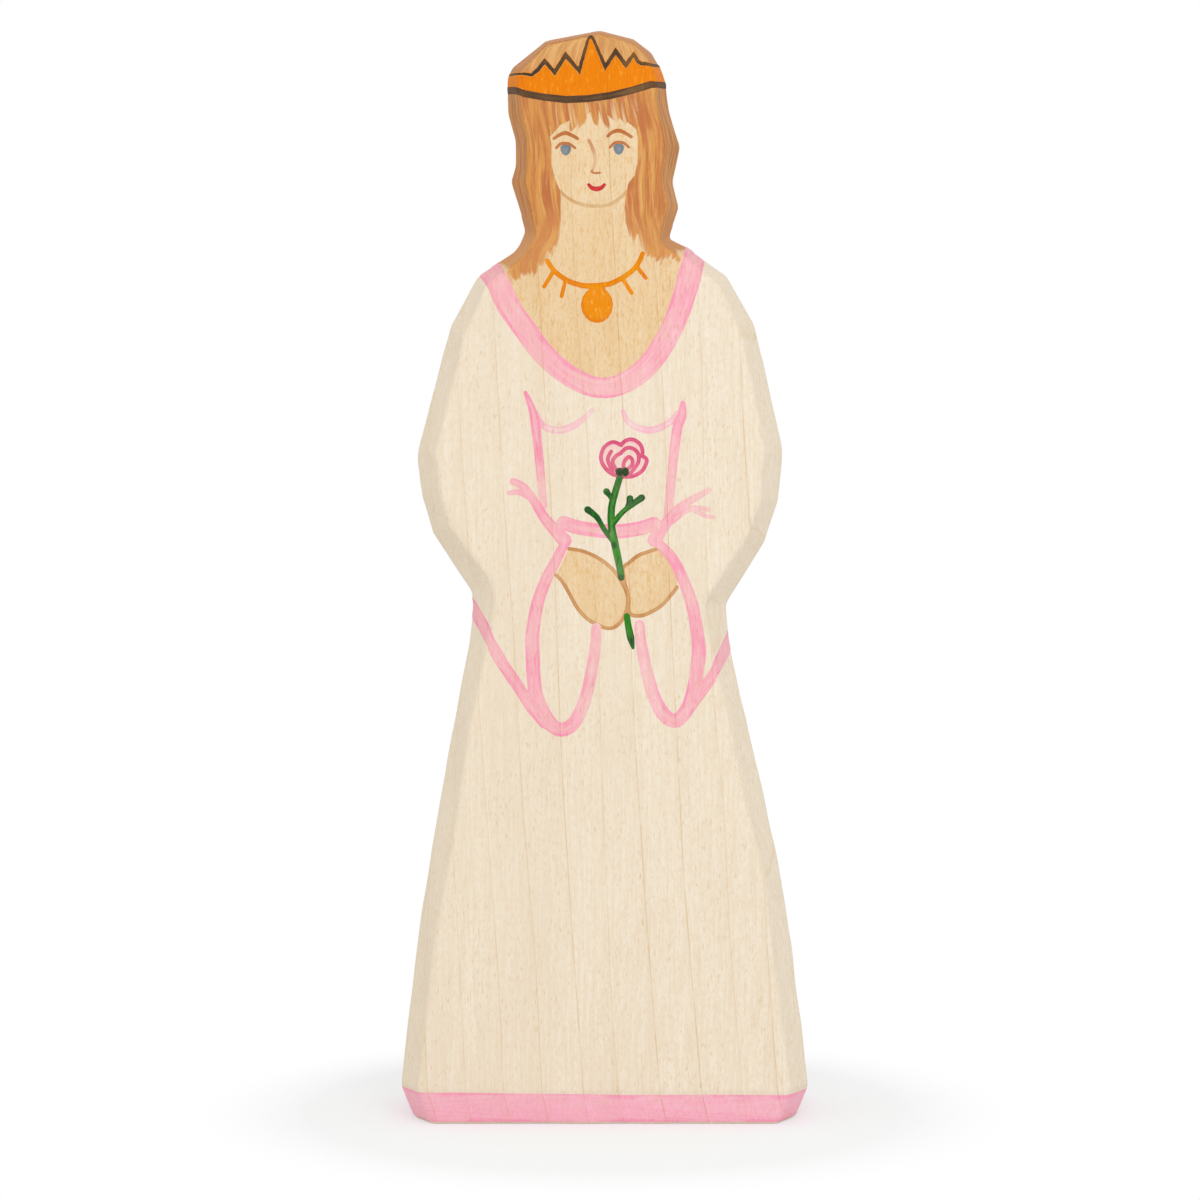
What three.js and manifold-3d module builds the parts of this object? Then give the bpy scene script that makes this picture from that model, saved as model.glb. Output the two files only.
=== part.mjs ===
// A princess figure sawn from a board, trimmed all round with a knife and painted by hand.
// Millimetres, +Z up, the face towards -Y. The origin is the middle of the foot it stands on.
// Left and right are as seen from the front. Each coat of paint is a thin skin laid over the wood.
import * as THREE from 'three';
import { mergeVertices } from 'three/addons/utils/BufferGeometryUtils.js';
import Module from 'manifold-3d';

const wasm = await Module();
wasm.setup();

// The board and the knife
const BOARD_THICKNESS = 22;
const KNIFE_DEPTH = 4.6;
const HEM_RISE = 4.6;
const HEM_TUCK = 1.7;

// Heights, each measured from the landmark below it
const SKIRT_RISE = 67;
const FOREARM_RISE = 18.5;
const UPPER_ARM_RISE = 23.5;
const SHOULDER_RISE = 5.8;
const HAIR_RISE = 17.2;
const SCALP_RISE = 8.25;

// Half widths at the landmarks, and how far the middle leans to the left there
const HEM_HALF_WIDTH = 26.4;
const WRIST_HALF_WIDTH = 16.2;
const ELBOW_HALF_WIDTH = 23.35;
const SHOULDER_HALF_WIDTH = 15.9;
const NECK_HALF_WIDTH = 9.15;
const TEMPLE_HALF_WIDTH = 10.05;
const BODY_LEAN = 0.65;
const SHOULDER_LEAN = 0.27;
const NECK_LEAN = 0.85;
const TEMPLE_LEAN = 2.25;

// Paint
const COAT_THICKNESS = 0.1;
const COAT_GAP = 0.02;
const HEM_PAINT_LIFT = 0.25;
const PAINT_ROUGHNESS = 0.6;
const WOOD_ROUGHNESS = 0.7;

// Where the painter set the middle of the face, the crown's brim, the throat and the knot of the sash
const FACE_ABOVE_NECK = 9.1;
const FACE_LEAN = 1.35;
const BRIM_BELOW_TEMPLE = 0.4;
const BRIM_LEAN = 1.65;
const THROAT_BELOW_SHOULDER = 0.9;
const THROAT_LEAN = 1;
const WAIST_ABOVE_WRIST = 9.9;
const WAIST_LEAN = -0.9;

// Room for the blades of paint outlines to pass clear of the wood
const CLEAR = 20;
const SAMPLES_PER_SPAN = 4;
const ROUND_END_STEPS = 4;
const SHARPEST_MITRE = 0.6;
const WELD = 1e-4;
const OVAL_STEPS = 16;
const LAP = 1;

const WRIST_Z = SKIRT_RISE;
const ELBOW_Z = WRIST_Z + FOREARM_RISE;
const SHOULDER_Z = ELBOW_Z + UPPER_ARM_RISE;
const NECK_Z = SHOULDER_Z + SHOULDER_RISE;
const TEMPLE_Z = NECK_Z + HAIR_RISE;
const TOP_Z = TEMPLE_Z + SCALP_RISE;
const BACK = BOARD_THICKNESS / 2;
const FRONT = -BACK;
const SIDE_BACK_EDGE = BACK - KNIFE_DEPTH;
const REACH = HEM_HALF_WIDTH + ELBOW_HALF_WIDTH + CLEAR;

const FACE = [-FACE_LEAN, NECK_Z + FACE_ABOVE_NECK];
const CROWN = [-BRIM_LEAN, TEMPLE_Z - BRIM_BELOW_TEMPLE];
const THROAT = [-THROAT_LEAN, SHOULDER_Z - THROAT_BELOW_SHOULDER];
const WAIST = [-WAIST_LEAN, WRIST_Z + WAIST_ABOVE_WRIST];

// The middle of the neckline's trim from the throat: a deep curve in front and a shallow one behind
const NECKLINE = [
  [-20, 7.6], [-13.4, 1.5], [-11.3, -2.5], [-9, -5.8], [-6.8, -8.7], [-4.3, -10.9], [-1.8, -12.4], [0.3, -13],
  [2.4, -12.8], [4.8, -11.6], [6.8, -9.8], [8.7, -7], [10.1, -4.1], [11.2, -0.8], [12, 2], [13.4, 6],
];
const BACK_NECKLINE = [
  [-20, 7.6], [-13.4, 1], [-9, -2.6], [-4.5, -4.1], [0, -4.6], [4.5, -4], [9, -2.2], [12, 2], [13.4, 6],
];

// Landmarks of the outline from the foot up: height, half width, lean and the width of the knife cut
const LANDMARKS = {
  foot: { z: 0, half: HEM_HALF_WIDTH, lean: 0, cut: 2.4 },
  hem: { z: HEM_RISE, half: HEM_HALF_WIDTH, lean: 0, cut: 2.4 },
  wrist: { z: WRIST_Z, half: WRIST_HALF_WIDTH, lean: BODY_LEAN, cut: 2.9 },
  elbow: { z: ELBOW_Z, half: ELBOW_HALF_WIDTH, lean: BODY_LEAN, cut: 2.7 },
  shoulder: { z: SHOULDER_Z, half: SHOULDER_HALF_WIDTH, lean: SHOULDER_LEAN, cut: 1.5 },
  neck: { z: NECK_Z, half: NECK_HALF_WIDTH, lean: NECK_LEAN, cut: 1.3 },
  temple: { z: TEMPLE_Z, half: TEMPLE_HALF_WIDTH, lean: TEMPLE_LEAN, cut: 1.5 },
  top: { z: TOP_Z, half: 0, lean: BODY_LEAN, cut: 0.5 },
};

// Corners between two landmarks: share of the way up, bow outwards, width of the knife cut
const LEFT_CORNERS = {
  hem: [[0.29, 0.65, 2.3], [0.54, 0.6, 2.6], [0.76, 0.2, 2.2], [0.92, -0.2, 2.4]],
  wrist: [[0.1, -0.4, 3.1], [0.5, 1.6, 2.6], [0.75, 1.15, 2.6]],
  elbow: [[0.06, 0.4, 2.4], [0.73, 1.45, 2.1]],
  shoulder: [[0.5, -1.5, 1], [0.7, -1.15, 1.1]],
  neck: [[0.37, 1, 1.7], [0.48, 0.15, 1.4], [0.68, -0.3, 1.5], [0.87, 0.2, 1.7]],
  temple: [[0.26, 3, 1.3], [0.42, 4.4, 1], [0.84, 4.95, 0.6]],
};
const RIGHT_CORNERS = {
  hem: [[0.29, 0.85, 2.6], [0.45, 1.05, 2.2], [0.66, 0.45, 2.5], [0.83, -0.25, 2.2], [0.93, -0.45, 2.5]],
  wrist: [[0.05, 0.1, 2.8], [0.44, 1.75, 2.5], [0.72, 1.45, 2.4]],
  elbow: [[0.07, 0.5, 2.5], [0.31, 1, 2.2], [0.74, 1.6, 2]],
  shoulder: [[0.62, -0.6, 1], [0.82, -1.6, 1]],
  neck: [[0.18, 1.1, 1.4], [0.37, 0.45, 1.3], [0.63, 1.55, 1.8], [0.88, 0.3, 1.4]],
  temple: [[0.16, 1.25, 1.2], [0.42, 2.75, 1], [0.67, 3.75, 0.8], [0.87, 3.2, 0.6]],
};

const INK = {
  wood: 0xead6b6,
  skin: 0xebcda1,
  hair: 0xcf8a4c,
  crown: 0xf08a07,
  outline: 0x4b3723,
  brow: 0xca814b,
  iris: 0x82a0b4,
  lips: 0xcd192d,
  gold: 0xef9316,
  pink: 0xf8b4c0,
  rose: 0xe1507d,
  green: 0x288232,
  darkGreen: 0x1c4f26,
};

function solidOf(geometry) {
  const bare = geometry.clone();
  bare.deleteAttribute('normal');
  bare.deleteAttribute('uv');
  const merged = mergeVertices(bare, WELD);
  return new wasm.Manifold(new wasm.Mesh({
    numProp: 3,
    vertProperties: Float32Array.from(merged.attributes.position.array),
    triVerts: Uint32Array.from(merged.index.array),
  }));
}

function geometryOf(solid) {
  const mesh = solid.getMesh();
  const geometry = new THREE.BufferGeometry();
  geometry.setAttribute('position', new THREE.BufferAttribute(Float32Array.from(mesh.vertProperties), 3));
  geometry.setIndex(Array.from(mesh.triVerts));
  geometry.computeVertexNormals();
  return geometry;
}

// A closed skin through rings of equal count, with the first and last ring filled in
function loft(rings, flatten) {
  const count = rings[0].length;
  const positions = rings.flat().flatMap((p) => p.toArray());
  const index = [];
  for (let r = 0; r + 1 < rings.length; r += 1) {
    for (let i = 0; i < count; i += 1) {
      const a = r * count + i;
      const b = r * count + ((i + 1) % count);
      index.push(a, b, b + count, a, b + count, a + count);
    }
  }
  const last = (rings.length - 1) * count;
  for (const [a, b, c] of THREE.ShapeUtils.triangulateShape(rings[0].map(flatten), [])) {
    index.push(a, c, b);
  }
  for (const [a, b, c] of THREE.ShapeUtils.triangulateShape(rings.at(-1).map(flatten), [])) {
    index.push(last + a, last + b, last + c);
  }
  const geometry = new THREE.BufferGeometry();
  geometry.setAttribute('position', new THREE.BufferAttribute(Float32Array.from(positions), 3));
  geometry.setIndex(index);
  return geometry;
}

// One side of the outline from the foot to the top, with the corners between the landmarks
function sideCorners(sign, corners) {
  const names = Object.keys(LANDMARKS);
  const points = [];
  for (const [i, name] of names.entries()) {
    const low = LANDMARKS[name];
    const lowX = sign * low.half - low.lean;
    points.push({ x: lowX, z: low.z, cut: low.cut });
    const high = LANDMARKS[names[i + 1]];
    for (const [share, bow, cut] of corners[name] ?? []) {
      const x = THREE.MathUtils.lerp(lowX, sign * high.half - high.lean, share) + sign * bow;
      points.push({ x, z: THREE.MathUtils.lerp(low.z, high.z, share), cut });
    }
  }
  return points;
}

// The sawn outline, anticlockwise from the front, drawn on below the foot where the saw cut it off
function sawnOutline() {
  const right = sideCorners(1, RIGHT_CORNERS);
  const left = sideCorners(-1, LEFT_CORNERS);
  left.pop();
  const below = { z: -CLEAR, cut: LANDMARKS.foot.cut };
  return [{ x: HEM_HALF_WIDTH, ...below }, ...right, ...left.reverse(), { x: -HEM_HALF_WIDTH, ...below }];
}

// Outward direction at each corner, long enough to move both neighbouring edges by one unit
function mitres(outline) {
  return outline.map((p, i) => {
    const before = outline.at(i - 1);
    const after = outline[(i + 1) % outline.length];
    const arriving = new THREE.Vector2(p.z - before.z, before.x - p.x).normalize();
    const leaving = new THREE.Vector2(after.z - p.z, p.x - after.x).normalize();
    const middle = arriving.clone().add(leaving).normalize();
    return middle.divideScalar(Math.max(middle.dot(leaving), SHARPEST_MITRE));
  });
}

// The knifed board, with every face moved out by grow
function knifedBoard(grow) {
  const outline = sawnOutline();
  const outward = mitres(outline);
  const ring = (y, shift) => outline.map((p, i) => {
    const move = shift(p);
    return new THREE.Vector3(p.x + outward[i].x * move, y(p), p.z + outward[i].y * move);
  });
  const slant = (p) => Math.hypot(p.cut, KNIFE_DEPTH);
  const inner = (p) => grow * (slant(p) - p.cut) / KNIFE_DEPTH - p.cut;
  const edge = (p) => KNIFE_DEPTH - grow * (slant(p) - KNIFE_DEPTH) / p.cut;
  const outer = () => grow;
  return solidOf(loft([
    ring(() => BACK + grow, inner),
    ring((p) => BACK - edge(p), outer),
    ring((p) => FRONT + edge(p), outer),
    ring(() => FRONT - grow, inner),
  ], (p) => new THREE.Vector2(p.x, p.z)));
}

// A block that widens upwards from the foot: its slanting sides cut the bevel at the hem
function hemBlock(grow, floor) {
  const cut = LANDMARKS.foot.cut;
  const flare = HEM_TUCK / HEM_RISE;
  const ring = (z) => {
    const spread = grow + flare * (z - HEM_RISE);
    const x = HEM_HALF_WIDTH + spread;
    const y = BACK + spread;
    const corners = [[x - cut, -y], [x, KNIFE_DEPTH - y], [x, y - KNIFE_DEPTH], [x - cut, y]];
    const mirrored = corners.map(([cx, cy]) => [-cx, cy]).reverse();
    return [...corners, ...mirrored].map(([cx, cy]) => new THREE.Vector3(cx, cy, z));
  };
  return solidOf(loft([ring(floor), ring(TOP_Z + CLEAR)], (p) => new THREE.Vector2(p.x, p.y)));
}

function carved(grow, floor) {
  return knifedBoard(grow).intersect(hemBlock(grow, floor));
}

// The skin of one layer of paint all over the figure; the layers lie one on the other
const skins = [];
function paintSkin(layer) {
  if (!skins[layer]) {
    const under = COAT_GAP + layer * (COAT_THICKNESS + COAT_GAP);
    skins[layer] = carved(under + COAT_THICKNESS, -HEM_RISE / 2).subtract(carved(under, -HEM_RISE));
  }
  return skins[layer];
}

// A flat outline in X and Z carried along Y between two depths
function blade(points, near, far) {
  const shape = new THREE.Shape(points.map(([x, z]) => new THREE.Vector2(x, z)));
  const geometry = new THREE.ExtrudeGeometry(shape, { depth: far - near, bevelEnabled: false });
  geometry.rotateX(Math.PI / 2);
  geometry.translate(0, far, 0);
  return solidOf(geometry);
}

// The edge of a brush stroke: its middle line widened to each side, with round ends
function strokeEdge(path, widths) {
  const count = path.length;
  const runs = path.slice(1).map((p, i) => new THREE.Vector2().subVectors(p, path[i]).normalize());
  const leaving = (i) => runs[Math.min(i, count - 2)];
  const ahead = path.map((p, i) => leaving(i).clone().add(runs[Math.max(i - 1, 0)]).normalize());
  const half = path.map((p, i) => {
    const share = (i / (count - 1)) * (widths.length - 1);
    const k = Math.min(Math.floor(share), widths.length - 2);
    const width = THREE.MathUtils.lerp(widths[k], widths[k + 1], share - k);
    return width / 2 / Math.max(ahead[i].dot(leaving(i)), SHARPEST_MITRE);
  });
  const beside = (i, turn) => {
    const side = ahead[i].clone().rotateAround(new THREE.Vector2(), turn);
    return path[i].clone().addScaledVector(side, half[i]).toArray();
  };
  const edge = [];
  for (let i = 0; i < count; i += 1) {
    edge.push(beside(i, -Math.PI / 2));
  }
  for (let k = 1; k < ROUND_END_STEPS; k += 1) {
    edge.push(beside(count - 1, Math.PI * (k / ROUND_END_STEPS - 0.5)));
  }
  for (let i = count - 1; i >= 0; i -= 1) {
    edge.push(beside(i, Math.PI / 2));
  }
  for (let k = 1; k < ROUND_END_STEPS; k += 1) {
    edge.push(beside(0, Math.PI * (k / ROUND_END_STEPS + 0.5)));
  }
  return edge;
}

function placed(points, anchor) {
  return points.map(([x, z]) => [x + anchor[0], z + anchor[1]]);
}

// A curved stroke through the points, or a jagged one when every corner stays sharp
function stroke({ points, anchor, widths, jagged = false, near = FRONT - CLEAR, far = 0 }) {
  const through = placed(points, anchor).map(([x, z]) => new THREE.Vector2(x, z));
  const spans = (through.length - 1) * SAMPLES_PER_SPAN;
  const path = jagged ? through : new THREE.SplineCurve(through).getPoints(spans);
  return blade(strokeEdge(path, widths), near, far);
}

function strokes(list) {
  return list.map(stroke).reduce((all, one) => all.add(one));
}

function patch(points, anchor, near = FRONT - CLEAR, far = 0) {
  return blade(placed(points, anchor), near, far);
}

function oval([x, z], halfX, halfZ, anchor) {
  const points = [];
  for (let i = 0; i < OVAL_STEPS; i += 1) {
    const turn = (2 * Math.PI * i) / OVAL_STEPS;
    points.push([x + halfX * Math.cos(turn), z + halfZ * Math.sin(turn)]);
  }
  return patch(points, anchor);
}

const figure = new THREE.Group();

function addPiece(name, solid, colour, roughness) {
  const material = new THREE.MeshStandardMaterial({ color: colour, roughness, metalness: 0 });
  const mesh = new THREE.Mesh(geometryOf(solid), material);
  mesh.name = name;
  figure.add(mesh);
}

// Paints one coat: the part of its layer's skin inside the blade, less what the layer already holds there
const painted = [];
function paint(name, layer, shape, colour) {
  let coat = paintSkin(layer).intersect(shape);
  if (painted[layer]) {
    coat = coat.subtract(painted[layer]);
  }
  painted[layer] = painted[layer] ? painted[layer].add(shape) : shape;
  addPiece(name, coat, colour, PAINT_ROUGHNESS);
}

function carveWood() {
  addPiece('wooden_figure', carved(0, 0), INK.wood, WOOD_ROUGHNESS);
}

function paintHem() {
  const band = [[-REACH, HEM_PAINT_LIFT], [REACH, HEM_PAINT_LIFT], [REACH, HEM_RISE], [-REACH, HEM_RISE]];
  paint('hem_band', 0, patch(band, [0, 0], FRONT - CLEAR, BACK + CLEAR), INK.pink);
}

// The tan glaze fills the neckline in front and behind, and runs on under the hair
function paintSkinGlaze() {
  const face = [[6.6, 9], [6, 23.2], [-7.4, 23.2], [-8, 9]];
  const nape = [[6.6, 9], [-8, 9]];
  const front = patch([...NECKLINE, ...face], THROAT, FRONT - CLEAR, SIDE_BACK_EDGE);
  const behind = patch([...BACK_NECKLINE, ...nape], THROAT, SIDE_BACK_EDGE - LAP, BACK + CLEAR);
  paint('skin_glaze', 0, front.add(behind), INK.skin);
}

// Locks and fringe in front, one broad fall of hair behind
function paintHair() {
  const leftLock = [
    [-REACH, -12.6], [-12.6, -13.3], [-12, -13.2], [-11.1, -13.8], [-11.1, -14.8], [-10.4, -15.6],
    [-9, -14.8], [-8.5, -14.9], [-7.9, -14.2], [-7.7, -15], [-6.9, -13.4], [-6.4, -13.7], [-5.7, -11.8],
    [-5.3, -12.4], [-5, -10.9], [-4.7, -11.7], [-4.4, -10.2], [-4.2, -8.1], [-4.2, -4.7], [-4.3, -3.8],
    [-5, -2.3], [-5.4, -0.5], [-5.4, 1.9],
  ];
  const fringe = [
    [-5.6, 2.9], [-4.9, 3.6], [-4.3, 4.4], [-3.7, 4.6], [-3.1, 4.9], [-3.2, 4.3], [-3.1, 3.4], [-2.6, 3.8],
    [-2.3, 4.2], [-2.1, 3.6], [-1.6, 4.3], [-1.1, 4.8], [-0.9, 5.6], [-0.5, 6], [-0.3, 5.2], [0, 4.5],
    [0.5, 4.2], [0.6, 5.1], [0.6, 6.1], [0.9, 5.1], [1.4, 4.3], [2, 3.8], [2, 4.5], [1.7, 5.6], [2.3, 5.1],
    [3, 4.7], [3.2, 5.3], [3.6, 4.8], [4, 4.4], [4.2, 4.7], [4.7, 4.4], [5.3, 3.8], [5.5, 2.9],
  ];
  const rightLock = [
    [5.5, 1.6], [5.5, -0.2], [5.1, -1.9], [4.3, -3], [4, -4.2], [3.8, -6], [4, -7.9], [4.4, -9.3],
    [4.9, -10.8], [5.5, -9.5], [5.9, -11], [6.6, -12.2], [7.5, -13.6], [7.4, -12.6], [8, -13], [9.2, -14.3],
    [8.8, -12.8], [9.6, -12.4], [11, -13.2], [11.1, -12.2], [10.7, -11.4], [REACH, -9.6],
  ];
  const over = [[REACH, REACH], [-REACH, REACH]];
  const fall = [
    [-REACH, -10.6], [-12, -12.4], [-10.6, -15], [-9.2, -14.2], [-6.9, -17], [-5.2, -15.9], [-2.7, -18],
    [-0.7, -16.7], [1.9, -17.8], [3.6, -16.2], [6.1, -16.9], [7.6, -14.6], [9.7, -14.9], [11, -12],
    [REACH, -10],
  ];
  const front = patch([...leftLock, ...fringe, ...rightLock, ...over], FACE, FRONT - CLEAR, LAP);
  const behind = patch([...fall, ...over], FACE, 0, BACK + CLEAR);
  paint('hair', 1, front.add(behind), INK.hair);
}

// The painted crown runs round the head, its spikes the same in front and behind
function paintCrown() {
  const spikes = [
    [-8.9, 3.2], [-7.6, 3], [-6.8, 3.6], [-5.9, 4.7], [-4.7, 3.3], [-3.3, 5.5], [-1.6, 3.5], [-0.2, 8.35],
    [1.7, 4], [3, 6], [4.3, 4.2], [5.3, 5.6], [5.8, 4.7], [6.3, 4.4],
  ];
  const brim = [
    [-10.4, 1.1], [-8.3, 0.6], [-6, 0.2], [-3.3, -0.1], [-0.6, 0], [2.3, 0.4], [5.2, 1.1], [7.5, 1.8],
  ];
  const top = [[-REACH, 3.3], ...spikes, [REACH, 4.6]];
  const bottom = [[-REACH, 1.3], ...brim, [REACH, 2.2]];
  const round = { anchor: CROWN, jagged: true, far: BACK + CLEAR };
  const band = [...bottom, ...top.toReversed()];
  paint('crown_band', 2, patch(band, CROWN, FRONT - CLEAR, BACK + CLEAR), INK.crown);
  paint('crown_bottom_line', 3, stroke({ ...round, points: bottom, widths: [0.9, 0.9] }), INK.outline);
  const topWidths = [0.62, 0.62, 0.8, 0.62, 0.62];
  paint('crown_top_line', 3, stroke({ ...round, points: top, widths: topWidths }), INK.outline);
}

function paintFace() {
  const line = (name, layer, colour, widths, points) => {
    paint(name, layer, stroke({ points, anchor: FACE, widths }), colour);
  };
  const brow = [0.38, 0.52, 0.4];
  const lid = [0.32, 0.4, 0.32];
  line('left_eyebrow', 1, INK.brow, brow, [[-5.1, 2.7], [-4.3, 3.2], [-3.6, 3.4], [-2.8, 3.1], [-2.1, 2.7]]);
  line('right_eyebrow', 1, INK.brow, brow, [[1.7, 3], [2.3, 3.5], [3.1, 3.7], [3.9, 3.4], [4.7, 2.9]]);
  line('left_eyelid', 2, INK.brow, lid, [[-4.8, 1.5], [-4.3, 2], [-3.7, 2.1], [-3.1, 2], [-2.4, 1.5]]);
  line('right_eyelid', 2, INK.brow, lid, [[2, 1.6], [2.5, 2.1], [3.1, 2.25], [3.8, 2.1], [4.4, 1.6]]);
  line('nose_line', 1, INK.brow, [0.4, 0.45, 0.35, 0.25, 0.3], [
    [-0.7, 2.5], [-0.3, 1.7], [0, 0.8], [0.1, -0.2], [-0.1, -1], [-0.3, -1.5], [0.2, -1.65], [0.7, -1.6],
  ]);
  line('lips', 1, INK.lips, [0.4, 0.65, 0.4], [
    [-0.7, -3.1], [-0.3, -3.5], [0.3, -3.65], [0.9, -3.5], [1.3, -3.1],
  ]);
  line('chin_line', 1, INK.brow, [0.4, 0.42, 0.4], [
    [-4.3, -3.9], [-3.6, -4.6], [-2.4, -5.3], [-1.1, -5.7], [0.2, -5.8], [1.6, -5.7], [2.7, -5.2],
    [3.7, -4.4], [4.1, -3.9],
  ]);
  const iris = [
    [-0.68, 0.4], [-0.64, -0.05], [-0.42, -0.48], [0, -0.72], [0.42, -0.48], [0.64, -0.05], [0.68, 0.4],
    [0.36, 0.68], [-0.36, 0.68],
  ];
  paint('left_iris', 1, patch(placed(iris, [-3.6, 1.25]), FACE), INK.iris);
  paint('right_iris', 1, patch(placed(iris, [3.1, 1.35]), FACE), INK.iris);
}

function paintNecklace() {
  const chain = [
    [-6.3, 3.1], [-5.6, 2], [-4.7, 1.2], [-3.6, 0.5], [-2.4, 0.1], [-1.2, -0.1], [1.3, 0.1], [2.6, 0.6],
    [3.8, 1.3], [5, 2.4], [5.8, 4],
  ];
  const drops = [
    [[-5.5, 1.8], [-6.7, -0.2]],
    [[-4, 0.6], [-4.5, -1.4]],
    [[3.2, 0.9], [4.4, -1]],
    [[5, 2.4], [6.2, 0.9]],
  ];
  const gold = { anchor: THROAT, widths: [0.6, 0.7, 0.6] };
  const pieces = [{ ...gold, points: chain }];
  for (const points of drops) {
    pieces.push({ ...gold, points, widths: [0.5, 0.5] });
  }
  const stone = oval([0, -2.5], 2.03, 2.3, THROAT);
  const loop = oval([0, -0.5], 1.1, 0.5, THROAT);
  paint('necklace_chain', 2, strokes(pieces), INK.gold);
  paint('pendant', 2, stone.add(loop), INK.gold);
}

// The trim runs over both shoulders and closes in a shallow curve behind
function paintNeckline() {
  const trim = { anchor: THROAT, widths: [3, 2.6, 3] };
  const front = stroke({ ...trim, points: NECKLINE, far: SIDE_BACK_EDGE });
  const behind = stroke({ ...trim, points: BACK_NECKLINE, near: SIDE_BACK_EDGE - LAP, far: BACK + CLEAR });
  paint('neckline_trim', 2, front.add(behind), INK.pink);
}

function paintBodice() {
  const line = (name, widths, points) => {
    paint(name, 1, stroke({ points, anchor: WAIST, widths }), INK.pink);
  };
  line('left_bodice_seam', [0.5, 1.2, 1.1, 1], [
    [-11, 17.6], [-10, 15], [-9.5, 11.6], [-9, 6.4], [-8.7, 3.2],
  ]);
  line('right_bodice_seam', [0.6, 1.4, 1.2, 1.1], [[9, 16.3], [8.9, 14.8], [8.3, 13], [7.7, 8], [7.1, 1.6]]);
  line('left_bust_line', [0.8, 0.9, 0.6], [
    [-9.7, 15], [-8.8, 13.4], [-7, 12.8], [-5.2, 13.2], [-3.8, 14.1], [-2.5, 15.3],
  ]);
  line('right_bust_line', [0.6, 0.9, 0.8], [
    [1.4, 15.2], [1.9, 14.1], [3.1, 13.2], [4.7, 12.8], [6.3, 13.2], [7.7, 14.1], [8.4, 15],
  ]);
}

function paintSash() {
  const tails = (list) => strokes(list.map(([widths, points]) => ({ anchor: WAIST, widths, points })));
  const sash = [[-6.2, 1], [-4.2, 0.4], [-1.6, 0], [0.1, -0.1], [1.8, 0], [4, 0.4], [5.4, 0.9]];
  const left = [
    [[0.9, 1.2, 1.8], [[-12.6, 6.3], [-11.3, 5.6], [-10.1, 4.1], [-8.7, 1.8], [-7.2, 0], [-6, -1.3]]],
    [[0.6, 0.9], [[-13.1, 4.8], [-11.8, 4.9], [-9.9, 4]]],
  ];
  const right = [
    [[0.7, 1.2, 1.8], [[12.4, 5.2], [10.6, 4.2], [8.7, 3], [7.2, 1.3], [6.1, -0.2], [5.4, -1.2]]],
    [[0.6, 0.9], [[12.3, 2.7], [10.6, 2.9], [9.1, 2.4], [7.6, 1.2]]],
    [[0.5, 0.7], [[13, 1.7], [11.9, 1.9], [10.4, 2.7]]],
  ];
  paint('waist_sash', 2, stroke({ anchor: WAIST, widths: [1.8, 1.8], points: sash }), INK.pink);
  paint('left_bow', 2, tails(left), INK.pink);
  paint('right_bow', 2, tails(right), INK.pink);
}

// Each hand comes out of a hanging sleeve: its opening is a long loop, its cuff runs round to the side
function paintSleeves() {
  const opening = { anchor: WAIST, widths: [1.2, 1.8, 1.8, 1.3] };
  const cuff = { anchor: WAIST, widths: [1.8, 1.5, 1.5], far: SIDE_BACK_EDGE };
  const leftOpening = [
    [-6.1, -1.8], [-7.1, -3.8], [-8.4, -6.3], [-9.5, -9.4], [-10.1, -13], [-10.1, -16.3], [-9.8, -20.5],
    [-8.9, -23], [-7.7, -24.9], [-6.4, -25.5], [-4.9, -24.7], [-3.5, -21.9], [-2.7, -18.5], [-2.1, -14.9],
    [-2, -12.4],
  ];
  const rightOpening = [
    [5.9, -1.6], [7.7, -3.5], [9.1, -6.3], [10.2, -9.4], [10.8, -12.4], [11.1, -15.2], [10.9, -17.7],
    [10.5, -20.2], [9.7, -22.7], [8.3, -24.3], [6.9, -23.8], [5.8, -22.2], [4.9, -19.7], [4.2, -16.9],
    [3.7, -14.1], [3.5, -12],
  ];
  const leftCuff = [
    [-19.2, -9.2], [-17.9, -10.7], [-16.8, -12.3], [-15.4, -14.6], [-13.5, -17.7], [-11.8, -20.2],
    [-10.2, -22.7], [-8.5, -24.7],
  ];
  const rightCuff = [[17.4, -11.2], [15.2, -14.9], [14, -16.9], [12.5, -19.1], [11.1, -21], [9.4, -23.3]];
  paint('left_sleeve_opening', 2, stroke({ ...opening, points: leftOpening }), INK.pink);
  paint('right_sleeve_opening', 2, stroke({ ...opening, points: rightOpening }), INK.pink);
  paint('left_cuff_edge', 2, stroke({ ...cuff, points: leftCuff }), INK.pink);
  paint('right_cuff_edge', 2, stroke({ ...cuff, points: rightCuff }), INK.pink);
}

function paintHands() {
  const left = [
    [-5.5, -2.3], [-3.8, -2.6], [-2.1, -3.3], [-0.6, -4.3], [0.5, -5.4], [1.4, -6.8], [2, -8.3], [2, -9.6],
    [1.6, -10.9], [0.7, -12.1], [-0.4, -12.5], [-1.7, -12.1], [-3.1, -11.3], [-4.4, -9.9], [-5.5, -7.9],
    [-6.4, -6.4], [-7.1, -5.7],
  ];
  const rightLine = [
    [5.8, -2.3], [4.6, -2.7], [3.3, -3.2], [2.2, -4.1], [1.4, -4.8], [1.6, -6.6], [2.1, -8.6], [2.2, -10.5],
    [3.5, -10.9], [5, -10.4], [6.5, -9.4], [7.8, -7.9], [8.3, -7.2],
  ];
  const right = [...rightLine, [8.3, -5.9], [7.4, -4.1]];
  const brown = { anchor: WAIST, widths: [0.45, 0.5, 0.45] };
  paint('left_hand', 0, patch(left, WAIST), INK.skin);
  paint('right_hand', 0, patch(right, WAIST), INK.skin);
  paint('left_hand_outline', 1, stroke({ ...brown, points: left }), INK.brow);
  paint('right_hand_outline', 1, stroke({ ...brown, points: rightLine }), INK.brow);
}

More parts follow.
